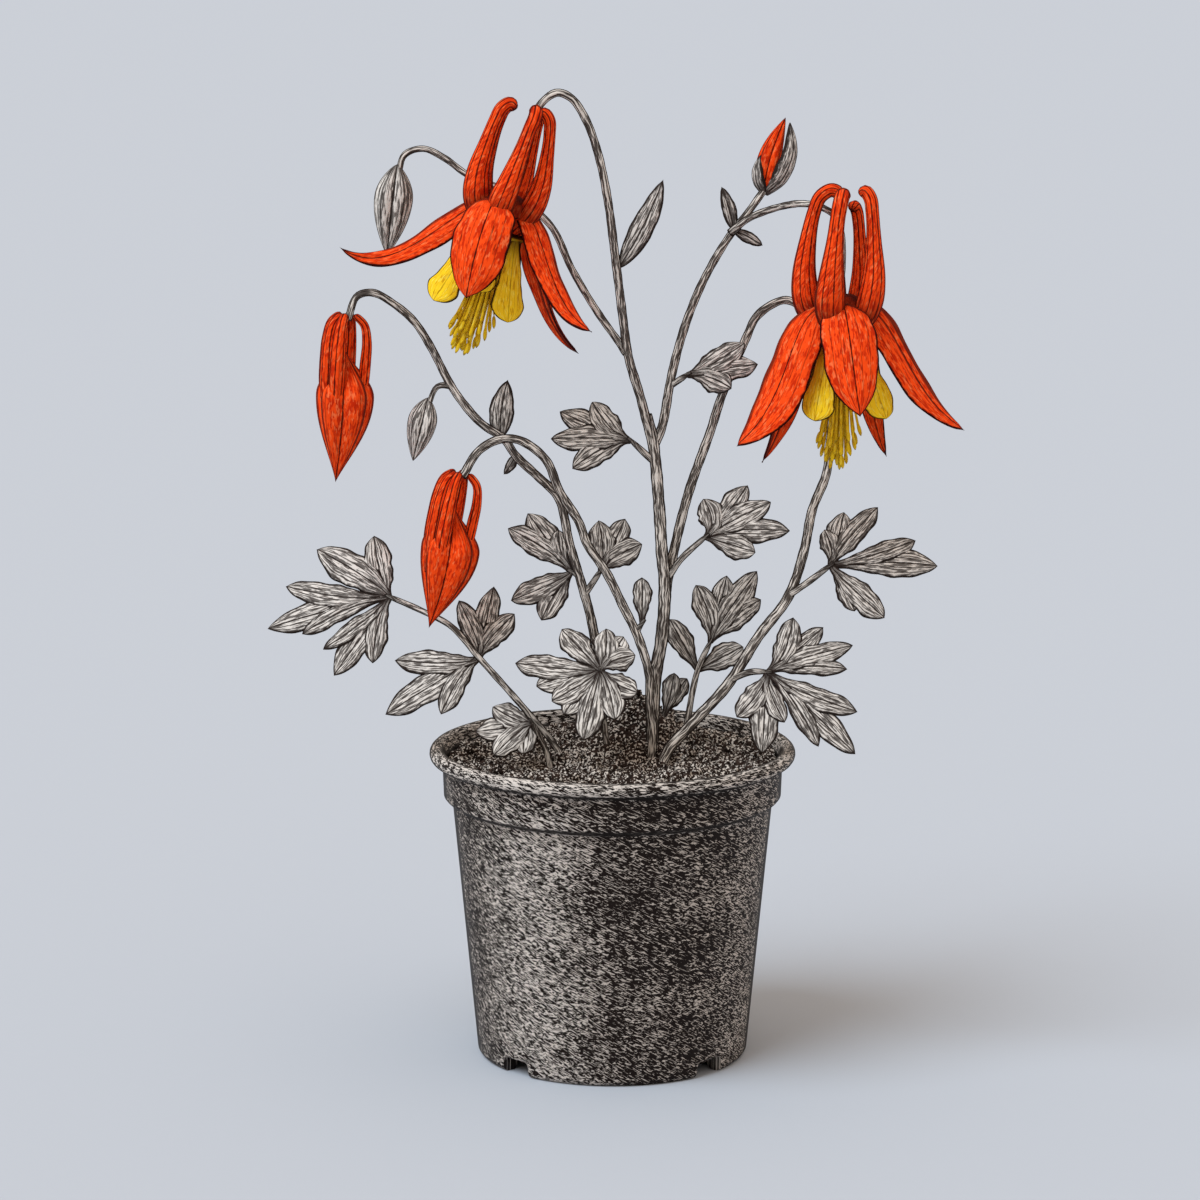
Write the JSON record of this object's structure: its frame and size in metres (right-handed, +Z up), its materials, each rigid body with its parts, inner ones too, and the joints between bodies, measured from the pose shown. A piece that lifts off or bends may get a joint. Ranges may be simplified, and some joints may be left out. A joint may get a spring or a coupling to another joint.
{
  "type": "potted columbine plant",
  "caption": "Flowering red and yellow columbine with nodding spurred flowers, closed buds and lobed leaves, growing in a round dark nursery pot.",
  "frame": {"origin": "centre of the pot's underside, where it rests", "axes": "+Z up along the pot's axis, -Y towards the plant's front, +X to the right seen from the front"},
  "size_m": [0.2231, 0.1196, 0.317],
  "materials": {
    "pot": "dark brown-black moulded polypropylene, slightly worn",
    "soil": "dark crumbly potting soil",
    "stem": "matte grey-brown stalks with fine lengthwise streaks",
    "leaf": "matte grey leaf with dark veins",
    "sepal_red": "matte orange-red petal tissue with dark veins",
    "petal_yellow": "matte golden yellow petal tissue with brown veins"
  },
  "bodies": {
    "root": {"pot": "pot", "soil": "soil", "stem_main": "stem", "stem_right": "stem", "stem_left_inner": "stem", "stem_left_outer": "stem", "leaf_left_basal": "leaf", "leaf_rim": "leaf", "leaf_front": "leaf", "leaf_left_stem": "leaf", "leaf_left_fork": "leaf", "leaf_small_left": "leaf", "leaf_right_back": "leaf", "leaf_small_right": "leaf", "leaf_right_upper": "leaf", "leaf_right_lower": "leaf", "leaf_mid_right": "leaf", "leaf_main_left": "leaf", "leaf_main_right": "leaf", "flower_left_sepals_and_spurs": "sepal_red", "flower_left_blades_and_stamens": "petal_yellow", "flower_right_sepals_and_spurs": "sepal_red", "flower_right_blades_and_stamens": "petal_yellow", "bud_red_upper": "sepal_red", "bud_red_lower": "sepal_red", "bud_green_upper": "leaf", "bud_green_lower": "leaf", "bud_green_back": "leaf", "bud_green_right": "leaf", "bud_red_top": "sepal_red"}
  },
  "joints": []
}
